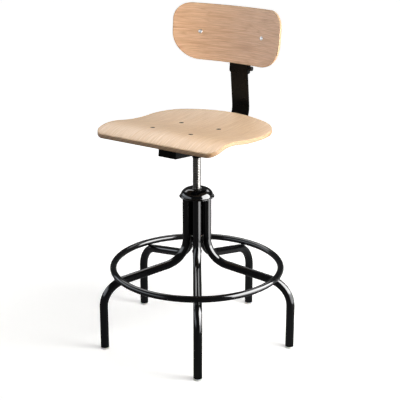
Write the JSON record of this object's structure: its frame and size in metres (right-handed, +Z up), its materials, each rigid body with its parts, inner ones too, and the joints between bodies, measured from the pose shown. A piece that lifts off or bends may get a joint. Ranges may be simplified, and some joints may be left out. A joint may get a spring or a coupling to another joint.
{
  "type": "swivel chair",
  "caption": "High swivel work chair: bent tube base with glides and a foot ring, screw spindle, moulded plywood seat, and a plywood back on an adjustable steel bar.",
  "frame": {"origin": "on the floor on the swivel axis, in the plane of the glides' undersides", "axes": "+Z up along the spindle, the seat faces -Y, +X to the sitter's left"},
  "size_m": [0.5784, 0.5637, 0.9832],
  "materials": {
    "black_enamel": "glossy black stoving enamel",
    "satin_black": "satin black paint on sheet and flat steel",
    "bright_steel": "bright turned and zinc plated steel",
    "white_plastic": "white moulded nylon",
    "black_plastic": "black moulded plastic",
    "black_rubber": "black rubber pads",
    "beech_plywood": "clear lacquered beech plywood"
  },
  "bodies": {
    "base": {"leg_1": "black_enamel", "leg_2": "black_enamel", "leg_3": "black_enamel", "leg_4": "black_enamel", "leg_5": "black_enamel", "glide_1": "white_plastic", "glide_2": "white_plastic", "glide_3": "white_plastic", "glide_4": "white_plastic", "glide_5": "white_plastic", "centre_tube": "black_enamel", "spindle_nut": "bright_steel", "guide_bush": "white_plastic", "dome_cover": "black_enamel", "foot_ring": "black_enamel", "ring_studs": "black_enamel"},
    "stop_washer": {"stop_washer": "bright_steel"},
    "seat": {"spindle": "bright_steel", "stop_screw": "bright_steel", "hub": "satin_black", "hub_pin": "bright_steel", "seat_carrier": "satin_black", "carrier_floor": "satin_black", "seat_plate": "satin_black", "seat_spacers": "black_rubber", "seat_panel": "beech_plywood", "seat_bolts": "satin_black", "seat_nuts": "bright_steel", "bar_guide": "satin_black", "clamp_bridge": "satin_black", "clamp_nut": "bright_steel", "clamp_pad": "black_plastic"},
    "clamp_knob": {"clamp_screw": "bright_steel", "clamp_knob": "black_plastic"},
    "back_bar": {"back_bar": "satin_black", "bar_stop_screw": "bright_steel"},
    "slider": {"slider": "satin_black", "slider_nut": "bright_steel", "pivot_bolt": "satin_black"},
    "height_knob": {"height_screw": "bright_steel", "height_knob": "black_plastic"},
    "pivot_knob": {"pivot_nut": "bright_steel", "pivot_knob": "black_plastic"},
    "back": {"hinge_bracket": "satin_black", "back_plate": "satin_black", "back_panel": "beech_plywood", "back_screws": "bright_steel", "back_nuts": "bright_steel"}
  },
  "joints": [
    {"name": "spindle_lift", "type": "slide", "parent": "base", "child": "stop_washer", "axis": [0, 0, 1], "range_m": [-0.085, 0.045]},
    {"name": "seat_turn", "type": "hinge", "parent": "stop_washer", "child": "seat", "pos_m": [0, 0, 0.276], "axis": [0, 0, 1], "range_deg": [-6120, 3240]},
    {"name": "bar_depth", "type": "slide", "parent": "seat", "child": "back_bar", "axis": [0, 0.993, -0.1184], "range_m": [-0.014, 0.025]},
    {"name": "clamp_knob_turn", "type": "hinge", "parent": "seat", "child": "clamp_knob", "pos_m": [0, 0.09941, 0.58896], "axis": [0, 0.1184, 0.993], "range_deg": [-720, 0]},
    {"name": "back_height", "type": "slide", "parent": "back_bar", "child": "slider", "axis": [0, -0.1045, 0.9945], "range_m": [-0.036, 0.011]},
    {"name": "height_knob_turn", "type": "hinge", "parent": "slider", "child": "height_knob", "pos_m": [0, 0.22747, 0.84836], "axis": [0, 0.9945, 0.1045], "range_deg": [-720, 0]},
    {"name": "pivot_knob_turn", "type": "hinge", "parent": "slider", "child": "pivot_knob", "pos_m": [0, 0.23369, 0.792], "axis": [1, 0, 0], "range_deg": [-720, 0]},
    {"name": "back_tilt", "type": "hinge", "parent": "slider", "child": "back", "pos_m": [0, 0.23369, 0.792], "axis": [1, 0, 0], "range_deg": [-3, 12]}
  ],
  "couplings": [
    {"joint": "spindle_lift", "follows": "seat_turn", "m_per_rad": 0.00079577}
  ]
}
